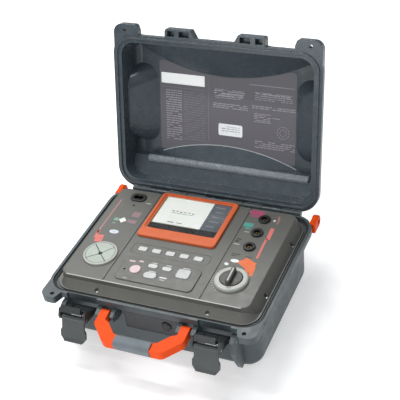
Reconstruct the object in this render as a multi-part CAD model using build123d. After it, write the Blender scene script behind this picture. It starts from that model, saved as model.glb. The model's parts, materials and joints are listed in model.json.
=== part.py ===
from build123d import *
import os
from math import cos, radians, sin

# Insulation resistance tester in a carrying case with its lid open.
# Millimetres, +Z up, +X to the right, the front at -Y. The origin is on the
# surface that the feet stand on, below the middle of the case rim.

# --- case -------------------------------------------------------------
rim_length = 390.0
rim_width = 288.0
rim_radius = 38.0
base_height = 112.0
lid_height = 60.0
flange_height = 14.0
lid_flange_height = 12.0
body_length = 366.0
body_width = 264.0
body_radius = 32.0
body_draft = 3.0
wall = 4.0
foot_height = 4.0
parting_gap = 0.4
lid_open = 106.7
hinge_y = rim_width / 2 + 4.0
hinge_z = base_height
hinge_xs = (-110.0, 0.0, 110.0)
knuckle_radius = 5.5
hinge_pin_radius = 2.5
running_gap = 0.1

# --- front hardware ---------------------------------------------------
latch_x = 119.0
rib_offset = 33.0
rib_thickness = 8.0
rib_front = -160.0
claw_pin_y = -149.0
claw_pin_z = 88.0
claw_open = 60.0
lever_swing = 20.0
lever_pin_y = claw_pin_y - 8.5
lever_pin_z = claw_pin_z + 30.0
latch_pin_radius = 2.0
handle_y = -153.0
handle_z = 92.0
handle_swing = 82.0
handle_pin_radius = 3.0
handle_pin_end = latch_x - rib_offset - 1.0
padlock_x = 172.0
padlock_y = -150.0
padlock_radius = 3.5

# --- instrument panel -------------------------------------------------
ledge_z = 105.0
groove_floor = 107.0
gasket_height = 1.0
panel_flange_top = 109.0
deck_z = 128.0
panel_skin = 3.0
crest_left = -173.0
crest_right = 166.0
crest_front = -113.0
crest_back = 125.4
deck_runs = (7.5, 15.0, 4.5, 2.0)
apron_top = 119.0
apron_front = -116.5
apron_runs = (8.0, 14.0, 15.5, 0.0)
board_z = 100.0
board_thickness = 1.6
groove_xs = (-91.6, 83.0)

nav_x, nav_y = -126.0, -55.0
nav_outer = 30.0
nav_radius = 26.0
dial_x, dial_y = 117.0, -59.0
dial_radius = 28.5
knob_radius = 19.0
knob_turn = 92.0

key_travel = 1.0
key_gap = 0.35
function_key_xs = [-59.3 + 25.8 * step for step in range(5)]
function_key_y = -24.5
function_key_size = (16.0, 10.0)

socket_x = 115.7
socket_ys = {"plus": 99.0, "guard": 62.5, "minus": 25.5}
socket_bore_radius = 2.05
inlet_x, inlet_y = -129.3, 103.0
led_spots = ((-129.0, 81.0, deck_z), (-130.8, 5.3, deck_z), (-67.0, -80.0, deck_z + 2.0))

bezel = (-87.0, 60.0, 5.0, 125.6)
window = (-78.0, 50.0, 29.0, 118.0)

os.makedirs("parts", exist_ok=True)


def box(x0, x1, y0, y1, z0, z1):
    """A block between two opposite corners."""
    return Pos((x0 + x1) / 2, (y0 + y1) / 2, (z0 + z1) / 2) * Box(x1 - x0, y1 - y0, z1 - z0)


def slab(length, width, corner, z0, z1, x=0.0, y=0.0, draft=0.0):
    """A plate with rounded corners in plan, drawn in by the draft angle upwards."""
    return extrude(Pos(x, y, z0) * RectangleRounded(length, width, corner), z1 - z0, taper=draft)


def post(x, y, z0, z1, radius):
    """An upright cylinder."""
    return Pos(x, y, (z0 + z1) / 2) * Cylinder(radius, z1 - z0)


def bar(x0, x1, y, z, radius):
    """A cylinder along X."""
    return Pos((x0 + x1) / 2, y, z) * Rot(0, 90, 0) * Cylinder(radius, x1 - x0)


def profile(points, x0, x1):
    """A prism along X from an outline in the YZ plane."""
    outline = Plane.YZ * make_face(Polyline(*points, close=True))
    return Pos(x0, 0, 0) * extrude(outline, x1 - x0, dir=(1, 0, 0))


def turned(shape, y, z, angle):
    """The shape turned about the line along X through (y, z)."""
    return Pos(0, y, z) * Rot(angle, 0, 0) * Pos(0, -y, -z) * shape


def mirrored(shape):
    """The shape and its mirror image across the middle of the case."""
    return shape + mirror(shape, Plane.YZ)


def save(shape, name):
    """One STEP file for one piece."""
    export_step(shape, f"parts/{name}.step")


# ----------------------------------------------------------------------
# Case base
# ----------------------------------------------------------------------

def front_ribs():
    """Upright guards on both sides of each latch, which also carry the pins."""
    tall = ((-124, 97.5), (-150, 97.5), (rib_front, 93), (rib_front, 70), (-148, 36), (-141, 21), (-122, 21))
    short = ((-124, 97.5), (-150, 97.5), (rib_front, 94), (rib_front, 80), (-142, 62), (-122, 62))
    outer = latch_x + rib_offset
    inner = latch_x - rib_offset
    half = rib_thickness / 2
    ribs = profile(tall, outer - half, outer + half) + profile(short, inner - half, inner + half)
    ear = ((-124, 97.5), (-150, 97.5), (rib_front, 94), (rib_front, 84), (-146, 78), (-124, 78))
    return mirrored(ribs + profile(ear, 56.5, 63.5))


def hinge_knuckles(spans, web):
    """Hinge barrels over the given spans on both sides, each with its web."""
    barrels = Part()
    for middle in hinge_xs:
        for start, end in spans:
            barrels += bar(middle + start, middle + end, hinge_y, hinge_z, knuckle_radius)
            barrels += box(middle + start, middle + end, hinge_y - 8, hinge_y, web[0], web[1])
    return barrels


def hinge_relief(spans):
    """The room that the other half's barrels turn in."""
    room = Part()
    for middle in hinge_xs:
        for start, end in spans:
            room += bar(middle + start - 0.4, middle + end + 0.4, hinge_y, hinge_z, knuckle_radius + 0.6)
    return room


base_spans = ((-54.0, -18.0), (18.0, 54.0))
lid_spans = ((-17.6, 17.6),)


def corner_ear(z0, z1, inner_x):
    """A padlock ear at each front corner."""
    outline = make_face(Polyline(
        (inner_x, -140), (inner_x + 7, -160), (193, -160), (193, -110), (inner_x, -110), close=True))
    outline = fillet(outline.vertices().sort_by(Axis.Y)[:2].sort_by(Axis.X)[:1], 6)
    outline = fillet(outline.vertices().sort_by(Axis.X)[-2:].sort_by(Axis.Y)[:1], 16)
    return mirrored(extrude(Pos(0, 0, z0) * outline, z1 - z0))


def padlock_holes(z0, z1):
    return mirrored(post(padlock_x, padlock_y, z0, z1, padlock_radius))


def base_shell():
    floor_length = body_length - 11.0
    floor_width = body_width - 11.0
    body = slab(floor_length, floor_width, body_radius - 5, foot_height, 100, draft=-body_draft)
    body = fillet(body.edges().group_by(Axis.Z)[0], 18)
    flange = slab(rim_length, rim_width, rim_radius, base_height - flange_height, base_height)
    flange = fillet(flange.edges().group_by(Axis.Z)[0], 4)
    shell = body + flange + front_ribs() + corner_ear(99, base_height, 157)
    shell += hinge_knuckles(base_spans, (101, hinge_z))
    hollow = slab(floor_length - 2 * wall, floor_width - 2 * wall, body_radius - 9,
                  foot_height + wall, 94, draft=-body_draft)
    hollow = fillet(hollow.edges().group_by(Axis.Z)[0], 13)
    shell -= hollow
    shell -= slab(340, 238, 18, 90, base_height)
    shell -= slab(body_length, body_width, 30, ledge_z, base_height + 1)
    for side in (-1, 1):
        shell -= box(side * latch_x - 28, side * latch_x + 28, -150, -140.5, 96, base_height + 1)
    shell -= hinge_relief(lid_spans)
    shell -= slab(380, 278, 33, groove_floor, base_height + 1)
    shell += box(-52, 52, -136, -122, 52, 96)
    shell += slab(240, 150, 20, 0, foot_height + 1) - slab(230, 140, 15, -1, foot_height)
    shell -= box(-49, 49, -137, -134.5, 55, 93)
    for middle in hinge_xs:
        shell -= bar(middle - 53, middle + 53, hinge_y, hinge_z, hinge_pin_radius)
    for side in (-1, 1):
        edge = side * (latch_x + rib_offset + rib_thickness / 2 + 1)
        near = side * (latch_x - rib_offset + 0.5)
        shell -= bar(min(edge, near), max(edge, near), claw_pin_y, claw_pin_z, latch_pin_radius)
        pivot = sorted((side * 56, side * handle_pin_end))
        shell -= bar(pivot[0], pivot[1], handle_y, handle_z, handle_pin_radius)
    shell -= padlock_holes(90, 120)
    for x, y in foot_spots:
        shell -= post(x, y, foot_height - 1, foot_height + 2, 4)
    for x, y in panel_screw_spots:
        shell -= post(x, y, 96, ledge_z + 1, 1.6)
    shell -= bar(24 - 6, 24 + 6, -125, 74, 0.5)
    shell -= Pos(27, -130, 74) * Rot(90, 0, 0) * Cylinder(6, 30)
    for side in (-1, 1):
        shell -= strap_seat(side)
        shell += strap_tab(side)
    return shell


foot_spots = [(x, y) for x in (-140.0, 140.0) for y in (-95.0, 95.0)]
panel_screw_spots = [(x, -124.6) for x in (-100.0, 100.0)] + [(176.6, y) for y in (-64.0, 64.0)]
panel_screw_spots += [(x, y) for x in (-176.5,) for y in (-64.0, 64.0)]


def rubber_feet():
    feet = Part()
    for x, y in foot_spots:
        foot = post(x, y, 0, foot_height, 9)
        foot = chamfer(foot.edges().group_by(Axis.Z)[0], 1)
        feet += foot + post(x, y, foot_height, foot_height + 2, 4)
    return feet


def hinge_pins():
    pins = Part()
    for middle in hinge_xs:
        pins += bar(middle - 53, middle + 53, hinge_y, hinge_z, hinge_pin_radius)
    return pins


def strap_tab(side):
    """The web behind each rear corner that a strap lug is screwed to."""
    return box(min(side * 174, side * 184.5), max(side * 174, side * 184.5), 104, 138, 86, 104.9)


def strap_seat(side):
    return box(min(side * 184.5, side * 205), max(side * 184.5, side * 205), 126.5, 165, 84, 113)


def strap_lugs():
    """Loops for the shoulder strap at both rear corners."""
    lug = Pos(190, 148, 101) * Rot(0, 90, 0) * Cylinder(11.5, 11)
    lug += box(184.5, 195.5, 127, 148, 90.5, 111)
    lug = fillet(lug.edges(), 2.4)
    lug -= Pos(190, 149, 101) * Rot(0, 90, 0) * Cylinder(4.5, 20)
    return mirrored(lug)


def pressure_valve():
    """Pressure relief valve in the front wall."""
    body = Pos(27, -130, 74) * Rot(90, 0, 0) * Cylinder(5.9, 14)
    cap = Pos(27, -136.2, 74) * Rot(90, 0, 0) * Cylinder(9, 3.4)
    cap = chamfer(cap.edges().group_by(Axis.Y)[0], 0.8)
    for turn in range(6):
        cap -= Pos(27, -138, 74) * Rot(0, 60 * turn, 0) * Pos(6.5, 0, 0) * Rot(90, 0, 0) * Cylinder(0.9, 3)
    return body + cap


def nameplate():
    plate = box(-48.5, 48.5, -135.7, -134.5, 55.5, 92.5)
    plate = fillet(plate.edges().filter_by(Axis.Y), 3)
    plate -= Pos(27, -134, 74) * Rot(90, 0, 0) * Cylinder(9.3, 6)
    return plate


# ----------------------------------------------------------------------
# Instrument panel and what is let into it
# ----------------------------------------------------------------------

def deck(left, right, front, back, z0, z1, run, corner):
    """A raised deck whose sides lean in by a run of its own on each side."""
    low = (left - run[0], right + run[1], front - run[2], back + run[3])
    high = (left, right, front, back)
    faces = []
    for (x0, x1, y0, y1), z, bend in ((low, z0, corner + 15), (high, z1, corner)):
        outline = RectangleRounded(x1 - x0, y1 - y0, bend)
        faces.append(Pos((x0 + x1) / 2, (y0 + y1) / 2, z) * outline)
    return loft(faces)


def key_hole(x, y, length, width, corner, z0=118.0, z1=140.0):
    return slab(length + 2 * key_gap, width + 2 * key_gap, corner + key_gap, z0, z1, x, y)


def nav_sector(turn, radius_in, radius_out, half_gap, z0, z1):
    """One quarter of a ring, centred on the given direction."""
    ring = post(0, 0, z0, z1, radius_out) - post(0, 0, z0 - 1, z1 + 1, radius_in)
    reach = radius_out * 2
    corner = half_gap * 2 ** 0.5
    wedge = make_face(Polyline((0, corner), (-reach, reach + corner), (reach, reach + corner), close=True))
    quarter = ring & extrude(Pos(0, 0, z0 - 1) * wedge, z1 - z0 + 2)
    return Pos(nav_x, nav_y, 0) * Rot(0, 0, turn) * quarter


nav_turns = {"up": 0.0, "left": 90.0, "down": 180.0, "right": 270.0}
stem_radius = 3.0
nav_stem = 15.5
lower_keys = {
    "power_key": (-48.5, -77.0, 19.0, 19.0, 9.4),
    "start_key": (-17.5, -84.5, 23.0, 14.0, 6.9),
    "enter_key": (35.5, -67.5, 23.0, 21.0, 5.0),
    "light_key": (-22.0, -62.6, 17.0, 9.0, 4.4),
    "back_key": (4.0, -63.4, 17.0, 9.0, 4.4),
}
keypad_top = deck_z + 2.0


def instrument_panel():
    plate = slab(body_length - 1.4, body_width - 1.4, 29, ledge_z + gasket_height, panel_flange_top)
    raised = deck(crest_left, crest_right, crest_front, crest_back, panel_flange_top - 1, deck_z,
                  deck_runs, 12)
    raised = fillet(raised.edges().group_by(Axis.Z)[-1], 1.6)
    apron = deck(crest_left + 5, crest_right, apron_front, apron_front + 60, panel_flange_top - 1, apron_top,
                 apron_runs, 12)
    panel = plate + raised + apron
    inside = deck(crest_left + 4, crest_right - 4, crest_front + 4, crest_back - 4,
                  ledge_z, deck_z - panel_skin, deck_runs, 9)
    panel -= inside
    for x in groove_xs:
        groove = box(x - 1.2, x + 1.2, crest_front - 8, crest_back + 4, deck_z - 1.2, deck_z + 2)
        panel -= groove
    panel -= slab(144, 25, 6, deck_z - 1.2, deck_z + 2, -7.7, function_key_y)
    for x in function_key_xs:
        panel -= key_hole(x, function_key_y, *function_key_size, 3)
    for x, y, length, width, corner in lower_keys.values():
        panel -= key_hole(x, y, length, width, corner)
    panel -= post(nav_x, nav_y, deck_z - 1.5, deck_z + 2, nav_outer + 0.4)
    for turn in nav_turns.values():
        offset = Pos(nav_x, nav_y, 0) * Rot(0, 0, turn) * Pos(0, nav_stem, 0)
        panel -= offset * post(0, 0, 118, 140, stem_radius + key_gap)
    panel -= post(dial_x, dial_y, 118, 140, 5.5)
    panel -= box(window[0] + 2, window[1] - 2, window[2] + 2, window[3] - 2, 118, 140)
    for y in socket_ys.values():
        panel -= post(socket_x, y, 118, 140, 7.7)
    panel -= slab(24.6, 16.6, 7.9, 118, 140, inlet_x, inlet_y)
    for x, y, top in led_spots:
        panel -= post(x, y, 118, 140, 1.75)
    for x, y in panel_screw_spots:
        panel -= post(x, y, 100, 115, 1.9)
        panel -= post(x, y, panel_flange_top, deck_z + 1, 3.4)
    return panel


def panel_gasket():
    ring = slab(body_length - 2, body_width - 2, 28, ledge_z, ledge_z + gasket_height)
    ring -= slab(344, 242, 18, ledge_z - 1, ledge_z + 3)
    for x, y in panel_screw_spots:
        ring -= post(x, y, 100, 115, 2.2)
    return ring


def panel_screws():
    """Pan-head screws that hold the panel down on its ledge."""
    screws = Part()
    for x, y in panel_screw_spots:
        head = post(x, y, panel_flange_top, panel_flange_top + 1.8, 2.9)
        head = fillet(head.edges().group_by(Axis.Z)[-1], 0.9)
        head -= box(x - 1.6, x + 1.6, y - 0.3, y + 0.3, panel_flange_top + 0.9, 120)
        head -= box(x - 0.3, x + 0.3, y - 1.6, y + 1.6, panel_flange_top + 0.9, 120)
        screws += head + post(x, y, 97, panel_flange_top, 1.5)
    return screws


def screen_bezel():
    x0, x1, y0, y1 = bezel
    frame = slab(x1 - x0, y1 - y0, 7, deck_z, deck_z + 5, (x0 + x1) / 2, (y0 + y1) / 2)
    frame = fillet(frame.edges().group_by(Axis.Z)[-1], 2.2)
    wx0, wx1, wy0, wy1 = window
    mid_x, mid_y = (wx0 + wx1) / 2, (wy0 + wy1) / 2
    frame -= slab(wx1 - wx0, wy1 - wy0, 3, deck_z - 1, deck_z + 8, mid_x, mid_y)
    lip = slab(wx1 - wx0 + 7, wy1 - wy0 + 7, 5, deck_z + 3.2, deck_z + 8, mid_x, mid_y)
    return frame - lip


def screen_window():
    wx0, wx1, wy0, wy1 = window
    mid_x, mid_y = (wx0 + wx1) / 2, (wy0 + wy1) / 2
    return slab(wx1 - wx0 - 0.4, wy1 - wy0 - 0.4, 2.8, deck_z + 0.6, deck_z + 2.4, mid_x, mid_y)


def lcd_module():
    wx0, wx1, wy0, wy1 = window
    module = box(wx0 + 2.4, wx1 - 2.4, wy0 + 2.4, wy1 - 2.4, 112, deck_z + 0.2)
    return module + box(wx0 - 4, wx1 + 4, wy0 - 3, wy1 + 3, 112, 124.6)


def function_key_bed():
    bed = slab(143.4, 24.4, 5.7, deck_z - 1.2, deck_z - 0.2, -7.7, function_key_y)
    for x in function_key_xs:
        bed -= key_hole(x, function_key_y, *function_key_size, 3)
    return bed


def keypad_bed():
    bed = slab(141, 54, 9, deck_z, keypad_top, -6.5, -77.5)
    bed = fillet(bed.edges().group_by(Axis.Z)[-1], 1.4)
    for x, y, length, width, corner in lower_keys.values():
        bed -= key_hole(x, y, length, width, corner)
    x, y, top = led_spots[2]
    return bed - post(x, y, 118, 140, 1.75)


def push_key(x, y, length, width, corner, top):
    """A rubber key: a cap in its hole and a wider foot below the panel."""
    cap = slab(length, width, corner, deck_z - panel_skin - 0.4, top, x, y)
    cap = fillet(cap.edges().group_by(Axis.Z)[-1], 0.8)
    foot = slab(length + 3, width + 3, corner + 1.5, deck_z - panel_skin - 2.4, deck_z - panel_skin - 0.4, x, y)
    return cap + foot + post(x, y, deck_z - panel_skin - 8, deck_z - panel_skin - 2, 2.2)


def nav_key(turn):
    """A quarter of the direction pad, dished towards its middle, with its stem."""
    key = nav_sector(turn, 4.0, nav_radius - 0.4, 0.7, deck_z - 0.2, deck_z + 3.4)
    key -= Pos(nav_x, nav_y, deck_z + 3.4 + 88.5) * Sphere(90)
    stem = Pos(nav_x, nav_y, 0) * Rot(0, 0, turn) * Pos(0, nav_stem, 0)
    key += stem * post(0, 0, deck_z - panel_skin - 8, deck_z, stem_radius)
    return key


def nav_ring():
    ring = post(nav_x, nav_y, deck_z - 1.5, deck_z + 3.5, nav_outer)
    ring = fillet(ring.edges().group_by(Axis.Z)[-1], 1.6)
    return ring - post(nav_x, nav_y, deck_z - 2, deck_z + 5, nav_radius + 0.3)


def key_switches():
    """The tact switches on the board, one below each key."""
    spots = [(x, function_key_y) for x in function_key_xs]
    spots += [(x, y) for x, y, length, width, corner in lower_keys.values()]
    for turn in nav_turns.values():
        angle = radians(turn)
        spots.append((nav_x - nav_stem * sin(angle), nav_y + nav_stem * cos(angle)))
    top = deck_z - panel_skin - 8 - key_travel - 0.3
    switches = Part()
    for x, y in spots:
        switches += box(x - 3, x + 3, y - 3, y + 3, board_z + board_thickness, top - 1.2)
        switches += post(x, y, top - 1.2, top, 1.7)
    return switches


def dial_ring():
    """The raised collar round the selector."""
    ring = post(dial_x, dial_y, deck_z, deck_z + 6, dial_radius)
    ring = fillet(ring.edges().group_by(Axis.Z)[-1], 3.4)
    ring -= post(dial_x, dial_y, deck_z - 1, deck_z + 8, knob_radius + 0.6)
    return ring


def selector_knob():
    knob = post(dial_x, dial_y, deck_z + 0.4, deck_z + 7.5, knob_radius)
    knob = fillet(knob.edges().group_by(Axis.Z)[-1], 1.6)
    grip = slab(38, 8.5, 4.1, deck_z + 6, deck_z + 15)
    grip = fillet(grip.edges().group_by(Axis.Z)[-1], 2.4)
    knob += Pos(dial_x, dial_y, 0) * Rot(0, 0, knob_turn) * grip
    knob -= post(dial_x, dial_y, 120, deck_z + 11, 3.0)
    return knob


def selector_shaft():
    return post(dial_x, dial_y, 111, deck_z + 11, 3.0) - box(
        dial_x - 4, dial_x + 4, dial_y + 2.2, dial_y + 5, deck_z + 4, deck_z + 12)


def selector_switch():
    """Rotary switch on the board, with the bush that the shaft turns in."""
    switch = slab(34, 34, 4, board_z + board_thickness, 114, dial_x, dial_y)
    switch += post(dial_x, dial_y, 114, deck_z - panel_skin, 5.2)
    switch -= post(dial_x, dial_y, 109, 140, 3.0 + running_gap)
    return switch


def test_socket(y):
    """Shrouded 4 mm test socket: an insulating shell round a sleeve contact."""
    shell = post(socket_x, y, deck_z, deck_z + 3.5, 10.5)
    shell = fillet(shell.edges().group_by(Axis.Z)[-1], 1.2)
    shell += post(socket_x, y, 104, deck_z, 7.4)
    shell -= post(socket_x, y, 107, deck_z + 8, 5.6)
    return shell - post(socket_x, y, 103, 108, 3.2)


def socket_contacts():
    """The sleeve that takes the plug's pin in each socket."""
    sleeves = Part()
    for y in socket_ys.values():
        sleeve = post(socket_x, y, board_z + board_thickness, deck_z + 0.5, 3.2)
        sleeve = fillet(sleeve.edges().group_by(Axis.Z)[-1], 0.6)
        sleeves += sleeve - post(socket_x, y, 106, deck_z + 1, socket_bore_radius)
    return sleeves


def mains_inlet():
    """Two-pole appliance inlet with a figure-8 recess."""
    body = slab(30, 21, 9, deck_z, deck_z + 2.4, inlet_x, inlet_y)
    body = fillet(body.edges().group_by(Axis.Z)[-1], 1)
    body += slab(24, 16, 7.6, 106, deck_z, inlet_x, inlet_y)
    recess = Part()
    for side in (-1, 1):
        recess += post(inlet_x + side * 4.3, inlet_y, 110, deck_z + 5, 5.2)
        recess += post(inlet_x + side * 4.3, inlet_y, 105, 111, 1.15)
    return body - recess


def inlet_pins():
    pins = Part()
    for side in (-1, 1):
        pin = post(inlet_x + side * 4.3, inlet_y, board_z + board_thickness, deck_z - 3, 1.15)
        pins += fillet(pin.edges().group_by(Axis.Z)[-1], 0.6)
    return pins


def indicator_leds():
    leds = Part()
    for x, y, top in led_spots:
        lamp = post(x, y, 120, top + 1.2, 1.6)
        leds += fillet(lamp.edges().group_by(Axis.Z)[-1], 1.2)
    return leds


# ----------------------------------------------------------------------
# Inside the case
# ----------------------------------------------------------------------

pillar_spots = [(x, y) for x in (-155.0, -96.0, 72.0, 150.0) for y in (-98.0, 12.0)]
pillar_spots += [(-96.0, 108.0), (74.0, 104.0)]


def main_board():
    board = slab(320, 222, 6, board_z, board_z + board_thickness, -3, 4)
    board -= post(socket_x, socket_ys["plus"], 90, 110, 0.5)
    for x, y in pillar_spots:
        board -= post(x, y, 90, 110, 1.6)
    return board


def board_pillars():
    pillars = Part()
    for x, y in pillar_spots:
        pillars += post(x, y, board_z + board_thickness, deck_z - panel_skin, 3.5)
        pillars += post(x, y, board_z - 3, board_z + board_thickness, 1.5) + post(x, y, board_z - 3, board_z, 3)
    return pillars


def hv_module():
    """Potted high-voltage converter below the board, next to the sockets."""
    case = slab(86, 120, 6, 62, 95, 100, 30)
    case = fillet(case.edges().group_by(Axis.Z)[0], 3)
    return case - slab(74, 108, 3, 58, 64, 100, 30)


def battery_pack():
    """Sealed pack of ten round cells in two rows."""
    pack = Part()
    for column in range(5):
        for row in range(2):
            cell = Pos(-80 + 30 * column, -40 + 70 * row, 23) * Rot(90, 0, 0) * Cylinder(14.8, 69)
            pack += cell
    pack += box(-80, 40, -74, 64, 12, 34)
    return pack


def battery_bracket():
    """Strap that holds the battery down on the floor of the case."""
    bracket = box(-103, 63, -12, 8, 38.2, 40.2)
    for x in (-103.0, 61.0):
        bracket += box(x, x + 2, -12, 8, foot_height + wall, 40.2)
    for x in (-121.0, 63.0):
        bracket += box(x, x + 18, -12, 8, foot_height + wall, foot_height + wall + 2)
    return bracket


def buzzer():
    case = post(-150, 40, board_z + board_thickness, board_z + board_thickness + 9, 8)
    case = fillet(case.edges().group_by(Axis.Z)[-1], 1)
    return case - post(-150, 40, 107, 120, 1.5)


# ----------------------------------------------------------------------
# Lid, drawn shut and then turned open about the hinge
# ----------------------------------------------------------------------

lid_z0 = base_height + parting_gap
lid_top = base_height + lid_height
ceiling = lid_top - wall


end_edge = 134.0
end_wall = 176.0
arc_radius = 350.0


def arc_swell(wall_y, depth, drop):
    """A face that leans inwards from a wall and meets the lid's inner face in an arc."""
    swell = Cone(arc_radius - depth, arc_radius, drop)
    swell = Pos(0, wall_y - depth + arc_radius, ceiling - drop / 2) * swell
    return swell & box(-178, 178, wall_y - depth - 4, wall_y + 6, ceiling - drop, ceiling)


def hinge_side_swell():
    """The hinge side's wall: a long slope with a round ridge, then an arc above it."""
    slope = profile(((130, 136), (94, 150), (94, ceiling), (130, ceiling)), -178, 178)
    return slope + arc_swell(95.0, 32.0, 19.0) + bar(-150, 166, 96.5, 151.5, 6.5)


def front_side_swell():
    return Rot(0, 0, 180) * arc_swell(126.5, 58.5, 45.0)


def end_bulge():
    """The raised, sloping middle of an end wall, with rounded corners."""
    low = Pos(end_wall + 20, -4, ceiling - 37.5) * RectangleRounded(40, 100, 18)
    high = Pos((end_edge + 216) / 2, -4, ceiling) * RectangleRounded(216 - end_edge, 148, 26)
    return loft([low, high])


def guard_tab(x0, x1, slope_in, slope_out):
    """A block on the lid's front edge with sloping ends and a hollow in it."""
    outline = make_face(Polyline(
        (x0, -142), (x0 + slope_in, -158), (x1 - slope_out, -158), (x1, -142), (x1, -136), (x0, -136), close=True))
    tab = extrude(Pos(0, 0, lid_z0) * outline, 15)
    tab = fillet(tab.edges().filter_by(Axis.Z).group_by(Axis.Y)[0], 2)
    pocket = box(x0 + slope_in + 3, x0 + slope_in + 22, -154.5, -144.5, lid_z0 - 1, lid_z0 + 11)
    second = box(x1 - slope_out - 16, x1 - slope_out - 3, -154.5, -144.5, lid_z0 - 1, lid_z0 + 11)
    return tab - pocket - second


def lid_shell():
    flange = slab(rim_length, rim_width, rim_radius, lid_z0, lid_z0 + lid_flange_height)
    flange = fillet(flange.edges().group_by(Axis.Z)[-1], 3)
    body = slab(372, 270, 31, lid_z0, lid_top - 1.5, draft=body_draft)
    body = fillet(body.edges().group_by(Axis.Z)[-1], 16)
    crown = slab(250, 150, 16, lid_top - 4, lid_top, draft=20)
    hollow = slab(359, 257, 25, lid_z0 - 1, ceiling, draft=body_draft)
    hollow = fillet(hollow.edges().group_by(Axis.Z)[-1], 12)
    hollow -= hinge_side_swell() + front_side_swell()
    hollow -= mirrored(end_bulge())
    lid = flange + body + crown + corner_ear(lid_z0, lid_z0 + 13, 142)
    lid += mirrored(guard_tab(35, 98, 9, 7))
    lid += hinge_knuckles(lid_spans, (lid_z0, lid_z0 + 8))
    for rib_x in (-150, -60, 60, 150):
        lid += box(rib_x - 4, rib_x + 4, 128, 141, lid_z0 + 6, lid_z0 + 38)
    lid -= hollow
    for side in (-1, 1):
        lid -= box(side * latch_x - 26, side * latch_x + 26, -165, -141.5, 109, 140)
    lid -= hinge_relief(base_spans)
    lid += slab(378.4, 276.4, 32.2, 109.4, lid_z0 + 2) - slab(372.8, 270.8, 29.4, 100, 130)
    for middle in hinge_xs:
        lid -= bar(middle - 18, middle + 18, hinge_y, hinge_z, hinge_pin_radius + running_gap)
    lid -= padlock_holes(100, 140)
    return lid


def rim_gasket():
    """The seal in the groove of the case rim, which the lid's tongue presses on."""
    return slab(379.6, 277.6, 32.8, groove_floor, 109.3) - slab(370.4, 268.4, 28.2, 100, 130)


def lid_chart():
    """The printed instruction sheet on the lid's inner face."""
    sheet = slab(264, 170, 5, ceiling - 0.4, ceiling, 0, -2)
    for edge, turn in ((63.0, 0), (68.0, 180)):
        sheet -= Rot(0, 0, turn) * post(0, edge + arc_radius, ceiling - 2, ceiling + 2, arc_radius + 1.2)
    return sheet


def opened_lid(shape):
    return turned(shape, hinge_y, hinge_z, -lid_open)


# ----------------------------------------------------------------------
# Latches and handle
# ----------------------------------------------------------------------

def claw():
    """The hook of a latch at x = 0, drawn upright as when the case is shut."""
    plate = box(-22, 22, -147, -142.6, 86, 118) + box(-18, 18, -147, -142.6, 118, 129)
    hook = box(-18, 18, -147, -136.2, 125.2, 129.4)
    piece = plate + hook + bar(-25, 25, claw_pin_y, claw_pin_z, 6)
    for x0, x1 in ((-25, -21), (21, 25)):
        side = ((-143, 84), (-150, 86), (-161.2, lever_pin_z - 3), (-161.2, lever_pin_z + 3), (-156, 124), (-143, 124))
        piece += profile(side, x0, x1)
    piece -= box(-13, 13, -144.4, -140, 96, 120)
    piece -= bar(-26, 26, claw_pin_y, claw_pin_z, latch_pin_radius + running_gap)
    piece -= bar(-26, 26, lever_pin_y, lever_pin_z, latch_pin_radius)
    return turned(piece, claw_pin_y, claw_pin_z, claw_open)


claw_turn = radians(claw_open)
lever_rest_y = claw_pin_y + (lever_pin_y - claw_pin_y) * cos(claw_turn) - 30.0 * sin(claw_turn)
lever_rest_z = claw_pin_z + (lever_pin_y - claw_pin_y) * sin(claw_turn) + 30.0 * cos(claw_turn)


def lever():
    """The broad lever of a latch at x = 0, which hangs from its pin."""
    outline = make_face(Polyline(
        (-20.6, 4), (-20.6, -19), (-23.5, -24), (-23.5, -34), (-18, -42), (18, -42),
        (23.5, -34), (23.5, -24), (20.6, -19), (20.6, 4), close=True))
    plate = Plane.XZ * outline
    plate = extrude(plate, 4.2, dir=(0, -1, 0))
    piece = Pos(0, 2.1, 0) * plate
    piece = fillet(piece.edges().filter_by(Axis.Y), 1.2)
    piece += bar(-20.6, 20.6, 0, 0, 3.6)
    lip = profile(((-2.1, -37), (-4.4, -41), (-4.4, -42.6), (2.1, -42), (2.1, -37)), -17, 17)
    piece += lip
    piece -= bar(-30, 30, 0, 0, latch_pin_radius + running_gap)
    return Pos(0, lever_rest_y, lever_rest_z) * Rot(-lever_swing, 0, 0) * piece


def lever_pin():
    return bar(-25, 25, lever_rest_y, lever_rest_z, latch_pin_radius)


def latch_pivot_pins():
    outer = latch_x + rib_offset + rib_thickness / 2
    inner = latch_x - rib_offset + 0.5
    return mirrored(bar(inner, outer, claw_pin_y, claw_pin_z, latch_pin_radius))


def handle_outline(offset, grip_low, grip_high):
    """The U of the handle as a path region between two offset outlines."""
    outer = make_face(Polyline(
        (-80 + offset, 100), (-80 + offset, 66), (-52 + offset / 2, grip_low), (52 - offset / 2, grip_low),
        (80 - offset, 66), (80 - offset, 100), close=True))
    outer = fillet(outer.vertices().sort_by(Axis.Y)[:4], 14)
    inner = make_face(Polyline(
        (-64.6 - offset, 112), (-64.6 - offset, 77), (-56 - offset, 73), (-38 - offset / 2, grip_high),
        (38 + offset / 2, grip_high), (56 + offset, 73), (64.6 + offset, 77), (64.6 + offset, 112), close=True))
    inner = fillet(inner.vertices().sort_by(Axis.Y)[:4], 5)
    return outer - inner


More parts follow.
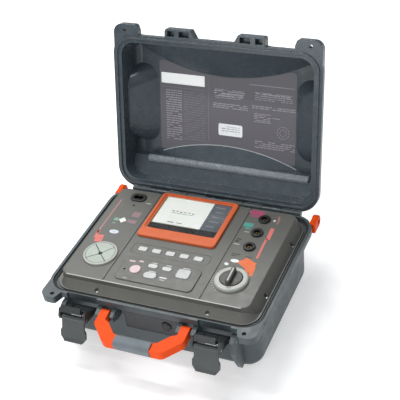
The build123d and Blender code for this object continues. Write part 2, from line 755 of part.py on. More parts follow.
def handle_frame():
    """The carrying handle: two channelled legs and a core under the grip."""
    region = Plane.XZ * handle_outline(0, 36, 54)
    frame = Pos(0, handle_y + 8, 0) * extrude(region, 16, dir=(0, -1, 0))
    top = box(-90, 90, handle_y - 20, handle_y + 20, handle_z, 120)
    frame -= top
    frame += mirrored(bar(64.6, 80, handle_y, handle_z, 8))
    core = box(-32, 32, handle_y - 20, handle_y + 20, 20, 65) - box(-40, 40, handle_y - 6, handle_y + 6, 38.5, 51.5)
    frame -= core
    channel = Part()
    for z0, z1 in ((64, 70.5), (72.5, 81)):
        channel += box(67, 77, handle_y - 5, handle_y + 5, z0, z1)
    channel += box(54, 64.5, handle_y - 5, handle_y + 5, 58, 70)
    channel = mirrored(channel)
    frame -= channel
    frame -= bar(-90, 90, handle_y, handle_z, handle_pin_radius + running_gap)
    return turned(frame, handle_y, handle_z, -handle_swing)


def handle_grip():
    grip = Pos(0, handle_y, 45) * Rot(0, 90, 0) * extrude(RectangleRounded(21, 21, 7), 32, both=True)
    grip -= box(-40, 40, handle_y - 6.1, handle_y + 6.1, 38.4, 51.6)
    return turned(grip, handle_y, handle_z, -handle_swing)


def handle_pins():
    return mirrored(bar(56.5, handle_pin_end, handle_y, handle_z, handle_pin_radius))


# ----------------------------------------------------------------------
# Every piece, one file each
# ----------------------------------------------------------------------

pieces = {
    "base_shell": base_shell, "rubber_feet": rubber_feet, "hinge_pins": hinge_pins,
    "strap_lugs": strap_lugs, "pressure_valve": pressure_valve, "nameplate": nameplate,
    "instrument_panel": instrument_panel, "rim_gasket": rim_gasket, "panel_gasket": panel_gasket, "panel_screws": panel_screws,
    "screen_bezel": screen_bezel, "screen_window": screen_window, "lcd_module": lcd_module,
    "function_key_bed": function_key_bed, "keypad_bed": keypad_bed, "nav_ring": nav_ring,
    "key_switches": key_switches, "dial_ring": dial_ring, "selector_knob": selector_knob,
    "selector_shaft": selector_shaft, "selector_switch": selector_switch,
    "socket_contacts": socket_contacts, "mains_inlet": mains_inlet, "inlet_pins": inlet_pins,
    "indicator_leds": indicator_leds, "main_board": main_board, "board_pillars": board_pillars,
    "hv_module": hv_module, "battery_pack": battery_pack, "battery_bracket": battery_bracket,
    "buzzer": buzzer, "latch_pivot_pins": latch_pivot_pins, "handle_frame": handle_frame,
    "handle_grip": handle_grip, "handle_pins": handle_pins,
}
for name, make in pieces.items():
    save(make(), name)

for name, make in (("lid_shell", lid_shell), ("lid_chart", lid_chart)):
    save(opened_lid(make()), name)

for side, x in (("left", -latch_x), ("right", latch_x)):
    save(Pos(x, 0, 0) * claw(), f"claw_{side}")
    save(Pos(x, 0, 0) * lever(), f"lever_{side}")
    save(Pos(x, 0, 0) * lever_pin(), f"lever_pin_{side}")

for name, y in socket_ys.items():
    save(test_socket(y), f"socket_{name}")

for name, turn in nav_turns.items():
    save(nav_key(turn), f"nav_key_{name}")

for number, x in enumerate(function_key_xs, 1):
    save(push_key(x, function_key_y, *function_key_size, 3, deck_z + 1.4), f"function_key_{number}")

for name, (x, y, length, width, corner) in lower_keys.items():
    save(push_key(x, y, length, width, corner, keypad_top + 1.6), name)
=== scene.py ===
import bpy
import json
from math import cos, pi, radians, sin
from mathutils import Matrix, Vector


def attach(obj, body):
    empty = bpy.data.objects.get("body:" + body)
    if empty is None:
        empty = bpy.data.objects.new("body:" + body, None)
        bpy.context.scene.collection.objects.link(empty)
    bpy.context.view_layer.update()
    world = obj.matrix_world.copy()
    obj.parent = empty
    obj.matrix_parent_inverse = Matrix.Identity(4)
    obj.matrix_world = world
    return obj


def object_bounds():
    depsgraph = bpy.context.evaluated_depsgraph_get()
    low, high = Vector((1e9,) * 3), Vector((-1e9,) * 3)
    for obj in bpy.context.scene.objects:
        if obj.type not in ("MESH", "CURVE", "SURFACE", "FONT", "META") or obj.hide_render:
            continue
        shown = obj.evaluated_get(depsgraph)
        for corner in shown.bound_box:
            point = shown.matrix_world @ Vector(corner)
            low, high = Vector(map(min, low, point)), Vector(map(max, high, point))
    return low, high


# Insulation resistance tester in its carrying case: finishes, prints and the
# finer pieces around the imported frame. Metres, +Z up, the front at -Y.

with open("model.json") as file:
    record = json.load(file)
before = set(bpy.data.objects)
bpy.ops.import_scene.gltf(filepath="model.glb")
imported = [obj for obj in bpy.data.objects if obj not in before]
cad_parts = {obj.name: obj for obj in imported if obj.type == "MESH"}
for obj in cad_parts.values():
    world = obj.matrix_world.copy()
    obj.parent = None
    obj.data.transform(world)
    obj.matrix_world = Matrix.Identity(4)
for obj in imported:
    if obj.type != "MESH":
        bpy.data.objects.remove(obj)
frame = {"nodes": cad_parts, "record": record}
cad_low, cad_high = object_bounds()
MM = 0.001

# Places on the frame, in millimetres and degrees, in the axes of the shut case
DECK = 128.0
KEYPAD = 130.0
GLASS = 128.22
CHART = 167.6
DIAL_X, DIAL_Y = 117.0, -59.0
TICK_REACH = 32.0
KNOB_TOP = 143.0
KNOB_TURN = 92.0
HINGE_Y, HINGE_Z = 148.0, 112.0
LID_OPEN = 106.7
CLAW_PIN_Y, CLAW_PIN_Z = -149.0, 88.0
CLAW_OPEN = 60.0
LATCH_X = 119.0
ARC_RADIUS = 350.0
ARC_CENTRE_Y = 413.0


# ----------------------------------------------------------------------
# Node helpers
# ----------------------------------------------------------------------

def node(tree, kind, **inputs):
    """A shader node with its unlinked sockets set by name."""
    made = tree.nodes.new(kind)
    for name, value in inputs.items():
        made.inputs[name.replace("_", " ")].default_value = value
    return made


def rgb(code):
    """A linear colour from a hex code as seen on a screen."""
    parts = [int(code[i:i + 2], 16) / 255 for i in (0, 2, 4)]
    return [((c + 0.055) / 1.055) ** 2.4 if c > 0.04045 else c / 12.92 for c in parts] + [1.0]


def noise(tree, place, scale, detail=2.0, rough=0.5):
    made = node(tree, "ShaderNodeTexNoise", Scale=scale, Detail=detail, Roughness=rough)
    tree.links.new(place, made.inputs["Vector"])
    return made.outputs["Fac"]


def remap(tree, value, low, high, to_low, to_high):
    made = tree.nodes.new("ShaderNodeMapRange")
    tree.links.new(value, made.inputs["Value"])
    for name, number in (("From Min", low), ("From Max", high), ("To Min", to_low), ("To Max", to_high)):
        made.inputs[name].default_value = number
    return made.outputs["Result"]


def blend_colours(tree, share, first, second, mode="MIX"):
    """Mixes two colours, each a fixed colour or a socket."""
    made = tree.nodes.new("ShaderNodeMix")
    made.data_type = "RGBA"
    made.blend_type = mode
    for slot, value in ((0, share), (6, first), (7, second)):
        if isinstance(value, bpy.types.NodeSocket):
            tree.links.new(value, made.inputs[slot])
        else:
            made.inputs[slot].default_value = value
    return made.outputs[2]


def math_node(tree, operation, first, second):
    made = tree.nodes.new("ShaderNodeMath")
    made.operation = operation
    for slot, value in ((0, first), (1, second)):
        if isinstance(value, bpy.types.NodeSocket):
            tree.links.new(value, made.inputs[slot])
        else:
            made.inputs[slot].default_value = value
    return made.outputs[0]


def shader(name):
    """A new material: its tree, its principled shader and object coordinates."""
    material = bpy.data.materials.new(name)
    material.use_nodes = True
    tree = material.node_tree
    surface = tree.nodes["Principled BSDF"]
    place = tree.nodes.new("ShaderNodeTexCoord").outputs["Object"]
    return material, tree, surface, place


def rounded_normal(tree, radius):
    """The normal with every sharp edge shaded as if it were rounded."""
    made = tree.nodes.new("ShaderNodeBevel")
    made.samples = 4
    made.inputs["Radius"].default_value = radius
    return made.outputs["Normal"]


def edge_mask(tree, normal):
    """Near one along sharp edges and near zero on the faces between them."""
    flat = tree.nodes.new("ShaderNodeNewGeometry").outputs["Normal"]
    dot = tree.nodes.new("ShaderNodeVectorMath")
    dot.operation = "DOT_PRODUCT"
    tree.links.new(normal, dot.inputs[0])
    tree.links.new(flat, dot.inputs[1])
    return remap(tree, dot.outputs["Value"], 0.99, 0.86, 0.0, 1.0)


def bump(tree, height, normal, strength, distance):
    made = node(tree, "ShaderNodeBump", Strength=strength, Distance=distance)
    tree.links.new(height, made.inputs["Height"])
    tree.links.new(normal, made.inputs["Normal"])
    return made.outputs["Normal"]


# ----------------------------------------------------------------------
# Finishes
# ----------------------------------------------------------------------

def moulded(name, colour, rough=0.5, grain=900.0, depth=0.12, edge=0.6, edge_wear_and_highlight=1.35, mottle=0.1,
            gloss=0.5, dust=0.0):
    """Moulded plastic: leathery grain, soft edges, edges lighter as rubbed wear and as a painted edge
    highlight, slightly uneven in tone.
    """
    material, tree, surface, place = shader(name)
    base = rgb(colour)
    dark = [c * (1 - mottle) for c in base[:3]] + [1]
    light = [c * (1 + mottle) for c in base[:3]] + [1]
    broad = remap(tree, noise(tree, place, 22.0, 4.0, 0.6), 0.3, 0.7, 0.0, 1.0)
    tone = blend_colours(tree, broad, dark, light)
    soft = rounded_normal(tree, edge * MM)
    # Lighter along edges: partly rubbed wear, partly a painted highlight on the edges.
    rubbed_and_highlit = math_node(tree, "MULTIPLY", edge_mask(tree, soft), remap(
        tree, noise(tree, place, 130.0, 3.0), 0.35, 0.65, 0.25, 0.9))
    pale = [min(1.0, c * edge_wear_and_highlight + 0.015) for c in base[:3]] + [1]
    tone = blend_colours(tree, rubbed_and_highlit, tone, pale)
    if dust:
        up = tree.nodes.new("ShaderNodeSeparateXYZ")
        tree.links.new(tree.nodes.new("ShaderNodeNewGeometry").outputs["Normal"], up.inputs[0])
        settled = math_node(tree, "MULTIPLY", remap(tree, up.outputs["Z"], 0.5, 1.0, 0.0, dust),
                            noise(tree, place, 60.0, 5.0, 0.7))
        tone = blend_colours(tree, settled, tone, rgb("a9a79d"))
    tree.links.new(tone, surface.inputs["Base Color"])
    fine = noise(tree, place, grain, 2.0, 0.55)
    tree.links.new(remap(tree, noise(tree, place, 75.0, 4.0), 0.3, 0.7, rough - 0.07, rough + 0.08),
                   surface.inputs["Roughness"])
    tree.links.new(bump(tree, fine, soft, depth, 0.5 * MM), surface.inputs["Normal"])
    surface.inputs["Specular IOR Level"].default_value = gloss
    return material


def rubber(name, colour, rough=0.68, grain=1500.0, edge=0.5, sheen=0.15):
    """Soft silicone or rubber: matt, faintly velvety, with a fine skin."""
    material, tree, surface, place = shader(name)
    base = rgb(colour)
    broad = remap(tree, noise(tree, place, 60.0, 4.0, 0.6), 0.3, 0.7, 0.0, 1.0)
    dark = [c * 0.9 for c in base[:3]] + [1]
    light = [min(1.0, c * 1.08) for c in base[:3]] + [1]
    soft = rounded_normal(tree, edge * MM)
    tone = blend_colours(tree, broad, dark, light)
    # Darker along edges and creases.
    darker_edge_share = math_node(tree, "MULTIPLY", edge_mask(tree, soft), 0.35)
    tone = blend_colours(tree, darker_edge_share, tone, [c * 0.72 for c in base[:3]] + [1])
    tree.links.new(tone, surface.inputs["Base Color"])
    tree.links.new(remap(tree, noise(tree, place, 200.0, 3.0), 0.3, 0.7, rough - 0.06, rough + 0.06),
                   surface.inputs["Roughness"])
    tree.links.new(bump(tree, noise(tree, place, grain, 2.0), soft, 0.1, 0.3 * MM), surface.inputs["Normal"])
    surface.inputs["Sheen Weight"].default_value = sheen
    surface.inputs["Specular IOR Level"].default_value = 0.4
    return material


def metal(name, colour, rough=0.28, streak=260.0, edge=0.25):
    """Turned or plated metal with fine tool marks."""
    material, tree, surface, place = shader(name)
    base = rgb(colour)
    stretch = node(tree, "ShaderNodeMapping", Scale=(1.0, 1.0, 0.12))
    tree.links.new(place, stretch.inputs["Vector"])
    marks = noise(tree, stretch.outputs[0], streak * 6, 3.0, 0.7)
    stain = remap(tree, noise(tree, place, 150.0, 4.0), 0.35, 0.7, 0.0, 0.6)
    tone = blend_colours(tree, stain, base, [c * 0.66 for c in base[:3]] + [1])
    tree.links.new(tone, surface.inputs["Base Color"])
    tree.links.new(remap(tree, marks, 0.3, 0.7, rough - 0.08, rough + 0.14), surface.inputs["Roughness"])
    soft = rounded_normal(tree, edge * MM)
    tree.links.new(bump(tree, marks, soft, 0.08, 0.1 * MM), surface.inputs["Normal"])
    surface.inputs["Metallic"].default_value = 1.0
    return material


def ink(name, colour, rough=0.55, patchy=0.12):
    """Screen print or a thin sticker: slightly uneven coverage over the grain below."""
    material, tree, surface, place = shader(name)
    base = rgb(colour)
    cover = remap(tree, noise(tree, place, 420.0, 4.0, 0.7), 0.3, 0.65, 0.0, 1.0)
    tone = blend_colours(tree, cover, [c * (1 - patchy) for c in base[:3]] + [1], base)
    tree.links.new(tone, surface.inputs["Base Color"])
    tree.links.new(remap(tree, noise(tree, place, 90.0), 0.3, 0.7, rough - 0.08, rough + 0.08),
                   surface.inputs["Roughness"])
    soft = rounded_normal(tree, 0.08 * MM)
    tree.links.new(bump(tree, noise(tree, place, 1100.0), soft, 0.08, 0.2 * MM), surface.inputs["Normal"])
    return material


def clear_plastic(name, tint, rough=0.06):
    material, tree, surface, place = shader(name)
    surface.inputs["Base Color"].default_value = rgb(tint)
    surface.inputs["Transmission Weight"].default_value = 1.0
    surface.inputs["IOR"].default_value = 1.49
    tree.links.new(remap(tree, noise(tree, place, 60.0, 4.0), 0.35, 0.75, rough, rough + 0.1),
                   surface.inputs["Roughness"])
    return material


finishes = {
    "case_plastic": moulded("slate_case_plastic", "454f52", rough=0.42, grain=1000, depth=0.16, edge=1.0,
                            dust=0.06),
    "gasket_rubber": rubber("black_gasket_rubber", "1b1d1e"),
    "foot_rubber": rubber("black_foot_rubber", "202122"),
    "steel_pin": metal("bright_steel_pin", "c6c9ca", rough=0.26),
    "screw_steel": metal("zinc_plated_screw", "d4d6d4", rough=0.3),
    "orange_plastic": moulded("orange_plastic", "ee4d00", rough=0.48, grain=1300, depth=0.1, edge=0.9,
                              edge_wear_and_highlight=1.12, mottle=0.05, gloss=0.15),
    "grip_rubber": rubber("grey_grip_rubber", "6d767b", rough=0.62, edge=1.0),
    "black_plastic": moulded("black_insulating_plastic", "161718", rough=0.4, grain=1500, depth=0.08,
                             edge=0.6, edge_wear_and_highlight=1.8),
    "blank_plate": moulded("dark_blank_plate", "33363a", rough=0.5, grain=1600, depth=0.1, edge=0.5),
    "panel_plastic": moulded("olive_grey_panel_plastic", "5a5a55", rough=0.4, grain=1100, depth=0.16,
                             edge=1.1, edge_wear_and_highlight=1.25, mottle=0.05, dust=0.08),
    "window_glass": clear_plastic("window_polycarbonate", "f4f6f4"),
    "display": ink("display_frame", "202326", rough=0.35),
    "silver_plastic": moulded("silver_painted_plastic", "b0b2aa", rough=0.36, grain=1600, depth=0.06,
                              edge=0.8, edge_wear_and_highlight=1.12, mottle=0.04),
    "pad_rubber": rubber("pale_pad_rubber", "adb6ab", rough=0.5, edge=0.8),
    "knob_plastic": moulded("dark_knob_plastic", "42423d", rough=0.4, grain=1400, depth=0.08, edge=0.8),
    "key_rubber": rubber("white_key_rubber", "c9cbc8", rough=0.55, edge=0.8),
    "pale_key_rubber": rubber("pale_grey_key_rubber", "c4c6c4", rough=0.55, edge=0.8),
    "pink_key_rubber": rubber("pink_key_rubber", "dcc4c8", rough=0.55, edge=0.8),
    "contact_brass": metal("nickelled_brass_contact", "b59a5a", rough=0.3),
    "led_lens": clear_plastic("led_lens", "fbfbf6", rough=0.2),
    "circuit_board": moulded("green_circuit_board", "1f5a37", rough=0.4, depth=0.05),
    "nylon": moulded("natural_nylon", "d6d2c4", rough=0.45, depth=0.05),
    "potted_block": moulded("black_potting_resin", "1a1b1d", rough=0.3, depth=0.05),
    "battery_wrap": moulded("blue_battery_wrap", "2c4f8c", rough=0.3, depth=0.05),
    "bracket_steel": metal("folded_steel_bracket", "a9adae", rough=0.35),
    "chart_print": ink("instruction_sheet", "68666d", rough=0.4, patchy=0.06),
    "latch_plastic": moulded("black_latch_plastic", "26292b", rough=0.4, grain=1300, depth=0.1, edge=0.8,
                             edge_wear_and_highlight=1.7),
    "lever_plastic": moulded("grey_lever_plastic", "474b4b", rough=0.42, grain=1300, depth=0.12, edge=1.2,
                             edge_wear_and_highlight=1.8),
}
lid_plastic = moulded("glossy_lid_plastic", "465056", rough=0.24, grain=700, depth=0.07, edge=1.6, edge_wear_and_highlight=1.5)
for row in frame["record"]["subparts"]:
    for slot in frame["nodes"][row["node"]].material_slots:
        slot.material = finishes[row["material_slot"]]
bezel_plastic = moulded("orange_bezel_plastic", "d05f2c", rough=0.5, grain=1300, depth=0.1, edge=0.8,
                        edge_wear_and_highlight=1.1, mottle=0.06)
for name, own_finish in (("lid_shell", lid_plastic), ("screen_bezel", bezel_plastic)):
    for slot in frame["nodes"][name].material_slots:
        slot.material = own_finish


# ----------------------------------------------------------------------
# Modelling helpers
# ----------------------------------------------------------------------

def deselect():
    bpy.ops.object.select_all(action="DESELECT")


def begin(name):
    """An empty mesh in edit mode that patches are added to."""
    deselect()
    bpy.ops.mesh.primitive_plane_add(size=1.0, enter_editmode=True, location=(0, 0, 0))
    bpy.ops.mesh.delete(type="VERT")
    piece = bpy.context.object
    piece.name = name
    return piece


def patch(x, y, z, length, width, thick, turn=0.0, sides=0):
    """A thin raised patch in millimetres: a rectangle, or a shape with the given sides."""
    bpy.ops.mesh.select_all(action="DESELECT")
    if sides:
        bpy.ops.mesh.primitive_circle_add(vertices=sides, radius=0.5, fill_type="NGON", location=(0, 0, 0))
    else:
        bpy.ops.mesh.primitive_plane_add(size=1.0, location=(0, 0, 0))
    bpy.ops.transform.resize(value=(length * MM, width * MM, 1), center_override=(0, 0, 0))
    bpy.ops.transform.rotate(value=-radians(turn), orient_axis="Z", center_override=(0, 0, 0))
    bpy.ops.transform.translate(value=(x * MM, y * MM, z * MM))
    bpy.ops.mesh.extrude_region_move(TRANSFORM_OT_translate={"value": (0, 0, thick * MM)})


def tube(x, y, z, length, radius, sides=20):
    """A short round bar along X with softened ends, in millimetres."""
    bpy.ops.mesh.select_all(action="DESELECT")
    bpy.ops.mesh.primitive_cylinder_add(vertices=sides, radius=1.0, depth=1.0, location=(0, 0, 0))
    bpy.ops.transform.rotate(value=pi / 2, orient_axis="Y", center_override=(0, 0, 0))
    bpy.ops.transform.resize(value=(length * MM, radius * MM, radius * MM), center_override=(0, 0, 0))
    bpy.ops.transform.translate(value=(x * MM, y * MM, z * MM))
    bpy.ops.mesh.bevel(offset=0.12 * radius * MM, segments=2)


def close(piece, finish, body="case"):
    """Leaves edit mode and gives the piece its finish and the body that it moves with."""
    bpy.ops.mesh.select_all(action="SELECT")
    bpy.ops.mesh.normals_make_consistent(inside=False)
    bpy.ops.object.mode_set(mode="OBJECT")
    piece.data.materials.clear()
    piece.data.materials.append(finish)
    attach(piece, body)
    return piece


def swing(angle, y, z):
    """Turns everything in the open mesh about the line along X through (y, z)."""
    bpy.ops.mesh.select_all(action="SELECT")
    bpy.ops.transform.rotate(value=-radians(angle), orient_axis="X", center_override=(0, y * MM, z * MM))


# ----------------------------------------------------------------------
# Prints on the instrument panel
# ----------------------------------------------------------------------

inks = {
    "white": ink("white_print", "e9ebe8"),
    "lamp": ink("cool_white_print", "d5dbe4"),
    "salmon": ink("salmon_print", "d9746a"),
    "rose": ink("faded_rose_print", "b07f7c"),
    "crimson": ink("crimson_print", "a8486a"),
    "teal": ink("teal_print", "4b9c8f"),
    "green": ink("soft_green_print", "7fa391"),
    "dull_red": ink("dull_red_print", "8f767a"),
    "orange": ink("orange_print", "e8713a"),
    "black": ink("black_print", "232422"),
    "grey": ink("grey_print", "5c5e58"),
    "pale": ink("pale_grey_print", "b9bab4"),
    "pink": ink("pale_pink_print", "c9b2b4"),
    # A painted highlight along the deck's crest, not a print.
    "crest": ink("painted_crest_highlight", "b4b4b0", rough=0.3),
}
panel_prints = {
    "white": [(-130.1, 38.2, 15, 15, 0, 4), (104.3, -12.5, 15, 8, 0, 24), (93.6, -23.0, 8, 6, -20, 24),
              (133.3, 101.0, 8, 6, 90, 3), (83.6, 116.0, 3.4, 1.2, 0, 0)],
    "lamp": [(-130.8, 5.3, 18, 10, 0, 28)],
    "green": [(-142.4, 38.0, 9, 8, 0, 0), (-142.4, 27.5, 5, 3, 0, 0)],
    "dull_red": [(-112.0, 38.0, 17, 9, 0, 0), (-112.0, 58.0, 15, 14, 0, 0)],
    "rose": [(-159.0, 43.0, 2.6, 96, 0, 0), (138.6, 108.0, 2.4, 12, 6, 0), (140.6, 101.0, 2.4, 16, 0, 0)],
    "salmon": [(-151.0, -13.0, 17, 9, 8, 0), (-148.0, -22.0, 14, 9, 8, 0), (-158.6, -3.0, 5, 12, 0, 0),
               (138.0, 66.0, 7, 30, 3, 0), (136.8, 28.0, 4, 52, 2, 0)],
    "crimson": [(97.2, 114.6, 26, 12, 0, 0), (97.2, 105.0, 16, 4, 0, 0)],
    "teal": [(93.2, 80.5, 17, 10, 0, 0), (95.0, 71.5, 10, 4, 0, 0)],
    "black": [(90.9, 41.1, 9, 2.2, 0, 0), (89.5, 35.4, 7, 3.2, 0, 0), (100.0, 3.9, 15, 1.8, 0, 0),
              (97.0, -0.5, 9, 1.6, 0, 0), (124.0, 2.0, 12, 1.4, 0, 0)],
    "pale": [(91.5, 28.0, 10, 2.0, 0, 0), (97.0, 62.0, 8, 1.6, 0, 0), (-104.0, 92.0, 10, 2, 0, 0)],
}


def panel_marks():
    for colour, marks in panel_prints.items():
        piece = begin("panel_print_" + colour)
        for x, y, length, width, turn, sides in marks:
            patch(x, y, DECK, length, width, 0.12, turn, sides)
        close(piece, inks[colour])
    piece = begin("selector_scale_block")
    wedge = ((128.0, -12.0, 24.0, 15.0, -25), (135.0, -22.0, 15.0, 24.0, 8),
             (141.0, -30.0, 7.0, 22.0, 5), (122.0, -17.0, 22.0, 10.0, -30))
    for x, y, length, width, turn in wedge:
        patch(x, y, DECK, length, width, 0.1 + 0.0004 * length, turn)
    close(piece, inks["orange"])
    piece = begin("selector_scale_ticks")
    for step in range(13):
        angle = 105.0 + step * 11.0
        x = DIAL_X + TICK_REACH * cos(radians(angle))
        y = DIAL_Y + TICK_REACH * sin(radians(angle))
        patch(x, y, DECK, 3.4, 0.7, 0.12, angle)
    close(piece, inks["pale"])
    piece = begin("key_legends")
    for x, y, length, width in ((-22.0, -54.5, 9, 1.2), (4.0, -54.5, 9, 1.2), (-17.5, -74.6, 13, 1.2),
                                (35.5, -53.4, 12, 1.2), (6.2, -84.2, 13, 2.4), (6.2, -89.5, 8, 1.0)):
        patch(x, y, KEYPAD, length, width, 0.1)
    close(piece, inks["white"])
    piece = begin("power_legends")
    for x, y, length, width in ((-62.0, -58.8, 11, 4.0), (-46.5, -56.0, 8, 4.0), (-57.0, -100.0, 8, 1.2)):
        patch(x, y, KEYPAD, length, width, 0.1)
    close(piece, inks["pink"])


panel_marks()


def paint_crest_highlight():
    """A pale strip along the raised deck's front crest: a painted highlight, not a part of the case."""
    piece = begin("deck_crest_painted_highlight")
    patch(-3.5, -113.6, 126.6, 316.0, 2.2, 1.2)
    bpy.ops.mesh.select_all(action="SELECT")
    bpy.ops.mesh.bevel(offset=0.5 * MM, segments=3)
    close(piece, inks["crest"])


paint_crest_highlight()


def knob_pointer():
    """A thin pale line along the grip of the selector."""
    piece = begin("selector_pointer_line")
    patch(DIAL_X, DIAL_Y, KNOB_TOP, 31.0, 2.6, 0.12, KNOB_TURN)
    close(piece, inks["pale"], "selector")


knob_pointer()


# ----------------------------------------------------------------------
# Display picture
# ----------------------------------------------------------------------

def lit(name, colour, glow):
    """A surface that gives off a little light of its own: the display areas, the floor, and the lid's white
    prints as painted glow.
    """
    material, tree, surface, place = shader(name)
    base = rgb(colour)
    uneven = remap(tree, noise(tree, place, 30.0, 3.0), 0.3, 0.7, 0.0, 1.0)
    tone = blend_colours(tree, uneven, [c * 0.94 for c in base[:3]] + [1], base)
    tree.links.new(tone, surface.inputs["Base Color"])
    tree.links.new(tone, surface.inputs["Emission Color"])
    surface.inputs["Emission Strength"].default_value = glow
    surface.inputs["Roughness"].default_value = 0.35
    return material


def display_picture():
    piece = begin("display_page")
    patch(-31.0, 82.5, GLASS, 92.0, 74.0, 0.06)
    close(piece, lit("display_white", "fbfbf8", 0.42))
    piece = begin("display_side_strip")
    patch(32.0, 82.0, GLASS, 33.0, 72.0, 0.06)
    close(piece, lit("display_blue_grey", "787c86", 0.05))
    piece = begin("display_border")
    edges = ((-31.0, 118.8, 92.0, 1.6), (-76.6, 82.5, 1.4, 74.0), (-31.0, 46.2, 92.0, 1.2))
    for x, y, length, width in edges:
        patch(x, y, GLASS + 0.06, length, width, 0.05)
    close(piece, lit("display_amber_edge", "cfc9a0", 0.2))
    piece = begin("display_marks")
    for step in range(6):
        patch(-50.0 + step * 7.6, 83.0 + 0.5 * sin(step * 2.1), GLASS + 0.06, 4.6, 2.2, 0.05)
    for x, y, length, width in ((-31.0, 78.2, 42.0, 1.1), (-43.0, 53.0, 12.0, 2.0), (-26.0, 53.0, 10.0, 1.6)):
        patch(x, y, GLASS + 0.06, length, width, 0.05)
    close(piece, lit("display_ink", "6a6f76", 0.02))
    piece = begin("display_side_marks")
    for row in range(5):
        patch(30.0 + 2.0 * (row % 2), 110.0 - row * 13.0, GLASS + 0.06, 18.0 - 3.0 * (row % 3), 3.0, 0.05)
    close(piece, lit("display_side_ink", "a7adb8", 0.08))


display_picture()


# ----------------------------------------------------------------------
# Prints in the lid, laid out with the lid shut and then swung open with it
# ----------------------------------------------------------------------

def lid_prints(name, finish, marks):
    piece = begin(name)
    for x, y, length, width, turn, sides in marks:
        patch(x, y, CHART, length, width, -0.14, turn, sides)
    swing(-LID_OPEN, HINGE_Y, HINGE_Z)
    close(piece, finish, "lid")
    return piece


def text_rows(x0, x1, y0, y1, rows, height, seed):
    """Rows of dashes of uneven length that stand for lines of print."""
    marks = []
    for row in range(rows):
        y = y0 + (y1 - y0) * (row + 0.5) / rows
        x = x0
        step = 0
        while x < x1 - 2.0:
            length = 3.0 + 6.0 * abs(sin(seed + row * 3.7 + step * 2.3))
            length = min(length, x1 - x)
            if abs(sin(seed * 2.0 + row * 1.9 + step * 5.1)) > 0.22:
                marks.append((x + length / 2, y, length, height, 0, 0))
            x += length + 1.4
            step += 1
    return marks


def ring_of_dashes(x, y, radius, count, length, width):
    return [(x + radius * cos(2 * pi * i / count), y + radius * sin(2 * pi * i / count), length, width,
             360.0 * i / count + 90, 0) for i in range(count)]


# The title bar and the label give off a little light: painted glow on printed paper.
lid_prints("lid_title_bar", lit("lid_title_painted_glow", "f7f9f8", 0.25), [(-85.5, -54.5, 86.0, 19.5, 0, 0)])
label = [(7.6, 31.0, 44.0, 22.0, 0, 0), (7.6, 31.0, 46.5, 17.0, 0, 0)]
label += [(7.6 + sx * 20.4, 31.0 + sy * 9.0, 4.8, 4.8, 0, 16) for sx in (-1, 1) for sy in (-1, 1)]
lid_prints("lid_label", lit("lid_label_painted_glow", "f0f2f4", 0.18), label)
rows = text_rows(-120.0, -88.0, -34.0, 63.0, 22, 1.6, 1.0)
rows += text_rows(-26.0, 41.0, -19.0, -8.5, 3, 1.5, 2.0)
rows += text_rows(-22.0, 36.0, -45.0, -27.0, 6, 1.3, 5.0)
rows += text_rows(54.0, 125.0, -47.0, -31.0, 5, 1.3, 7.0)
rows += text_rows(49.0, 131.0, -22.0, -15.0, 2, 1.6, 3.0)
rows += text_rows(53.0, 85.0, -8.0, 10.0, 6, 1.2, 4.0)
rows += text_rows(55.0, 131.0, 43.0, 58.0, 4, 1.5, 6.0)
rows += [(86.0, -58.5, 84.0, 1.3, 0, 0), (95.0, -1.0, 14.0, 1.2, 0, 0)]
rows += ring_of_dashes(108.0, 24.0, 11.0, 14, 2.6, 1.2) + ring_of_dashes(108.0, 24.0, 6.0, 8, 2.0, 1.2)
lid_prints("lid_text_light", ink("lid_text_grey", "aaa7ae"), rows)
faint = text_rows(-84.0, -42.0, -34.0, 60.0, 20, 1.1, 8.0)
faint += [(-35.5, -4.0, 1.0, 122.0, 0, 0), (-85.0, -38.0, 86.0, 1.0, 0, 0)]
lid_prints("lid_text_faint", ink("lid_text_dim", "84828a"), faint)
bright = text_rows(-24.0, 34.0, -43.0, -30.0, 3, 1.6, 9.0)
bright += text_rows(56.0, 122.0, -45.0, -34.0, 3, 1.5, 10.0)
lid_prints("lid_text_bright", ink("lid_text_pale", "c9c7cd"), bright)
lid_prints("lid_label_rows", inks["grey"], text_rows(-10.0, 26.0, 23.0, 39.0, 4, 1.2, 11.0))


# The bead's pale colour is a painted highlight on the ridge.
bead_painted_highlight = moulded("painted_highlight_bead_plastic", "a6b0b6", rough=0.24, grain=700, depth=0.05, edge=1.0,
                       edge_wear_and_highlight=1.3)


def lid_painted_highlights():
    """A pale bead over the ridge on the hinge side's wall and a thin one round the arc above: both pale as
    painted highlights.
    """
    piece = begin("lid_ridge_painted_highlight")
    tube(8.0, 98.5, 151.0, 312.0, 8.2, 36)
    swing(-LID_OPEN, HINGE_Y, HINGE_Z)
    close(piece, bead_painted_highlight, "lid")
    deselect()
    piece.select_set(True)
    bpy.context.view_layer.objects.active = piece
    bpy.ops.object.shade_smooth_by_angle(angle=radians(35))
    marks = []
    for step in range(44):
        angle = radians(-21.0 + step)
        x = ARC_RADIUS * sin(angle)
        y = ARC_CENTRE_Y - (ARC_RADIUS + 0.6) * cos(angle)
        marks.append((x, y, 6.6, 1.5, -21.0 + step, 0))
    lid_prints("lid_arc_painted_highlight", ink("painted_arc_highlight", "c4cbce", rough=0.3), marks)


lid_painted_highlights()


# ----------------------------------------------------------------------
# Latch hardware
# ----------------------------------------------------------------------

def latch_bars():
    """Bright cross bars of each latch: the pivot sleeve, the link bar and the hook's edge."""
    for side, x in (("left", -LATCH_X), ("right", LATCH_X)):
        piece = begin("latch_bars_" + side)
        tube(x, -151.6, 101.0, 40.0, 1.5)
        tube(x, -151.6, 110.5, 40.0, 1.5)
        tube(x + 8.0, -148.6, 122.0, 18.0, 1.7)
        tube(x, -148.4, 93.5, 41.0, 1.3)
        swing(CLAW_OPEN, CLAW_PIN_Y, CLAW_PIN_Z)
        close(piece, finishes["steel_pin"], "claw_" + side)


latch_bars()


# ----------------------------------------------------------------------
# Floor, light and camera
# ----------------------------------------------------------------------

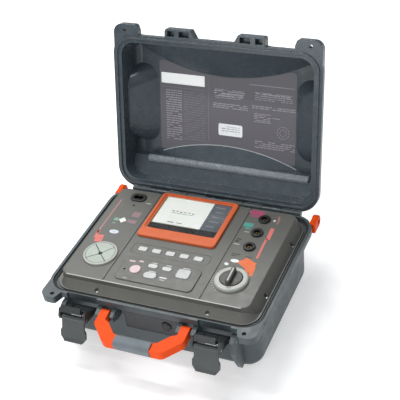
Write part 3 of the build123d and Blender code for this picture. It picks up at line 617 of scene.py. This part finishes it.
def studio():
    deselect()
    bpy.ops.mesh.primitive_plane_add(size=12.0, location=(0, 0, cad_low.z))
    floor = bpy.context.object
    floor.name = "studio_floor"
    floor.data.materials.append(lit("pale_floor", "f2f2f2", 0.5))
    world = bpy.data.worlds.new("studio")
    bpy.context.scene.world = world
    world.use_nodes = True
    tree = world.node_tree
    split = tree.nodes.new("ShaderNodeSeparateXYZ")
    tree.links.new(tree.nodes.new("ShaderNodeNewGeometry").outputs["Incoming"], split.inputs[0])
    height = math_node(tree, "ABSOLUTE", split.outputs["Z"], 0.0)
    climb = remap(tree, height, 0.05, 0.9, 0.0, 1.0)
    tone = blend_colours(tree, climb, (0.16, 0.17, 0.18, 1), (0.92, 0.96, 1.0, 1))
    tree.links.new(tone, tree.nodes["Background"].inputs["Color"])
    tree.nodes["Background"].inputs["Strength"].default_value = 0.6


def softbox(name, place, target, size, power, warmth=(1.0, 1.0, 1.0)):
    lamp = bpy.data.lights.new(name, "AREA")
    lamp.shape = "RECTANGLE"
    lamp.size, lamp.size_y = size
    lamp.energy = power
    lamp.color = warmth
    holder = bpy.data.objects.new(name, lamp)
    bpy.context.scene.collection.objects.link(holder)
    holder.location = place
    holder.rotation_mode = "QUATERNION"
    holder.rotation_quaternion = (Vector(target) - Vector(place)).to_track_quat("-Z", "Y")


def camera():
    azimuth, elevation, roll = radians(28.76), radians(37.24), radians(-9.3)
    target = Vector((-0.04967, 0.18426, 0.07617))
    distance = 1.87796
    back = Vector((sin(azimuth) * cos(elevation), -cos(azimuth) * cos(elevation), sin(elevation)))
    level = Vector((0, 0, 1)).cross(back).normalized()
    upright = back.cross(level)
    right = cos(roll) * level + sin(roll) * upright
    up = -sin(roll) * level + cos(roll) * upright
    eye = bpy.data.cameras.new("product_camera")
    eye.lens = 90.27
    eye.sensor_width = 36.0
    holder = bpy.data.objects.new("product_camera", eye)
    bpy.context.scene.collection.objects.link(holder)
    turn = Matrix((right, up, back)).transposed().to_4x4()
    holder.matrix_world = Matrix.Translation(target + back * distance) @ turn
    bpy.context.scene.camera = holder


studio()
softbox("overhead_softbox", (-0.6, 0.9, 1.6), (0, 0.05, 0.1), (1.2, 0.7), 17.0)
softbox("overhead_strip", (-0.72, -0.08, 1.9), (-0.72, 0.1, 0.2), (1.7, 0.14), 16.0)
softbox("front_fill", (-0.3, -1.8, 0.8), (0, 0.1, 0.15), (1.2, 0.6), 11.0)
camera()
bpy.context.scene.view_settings.view_transform = "Standard"
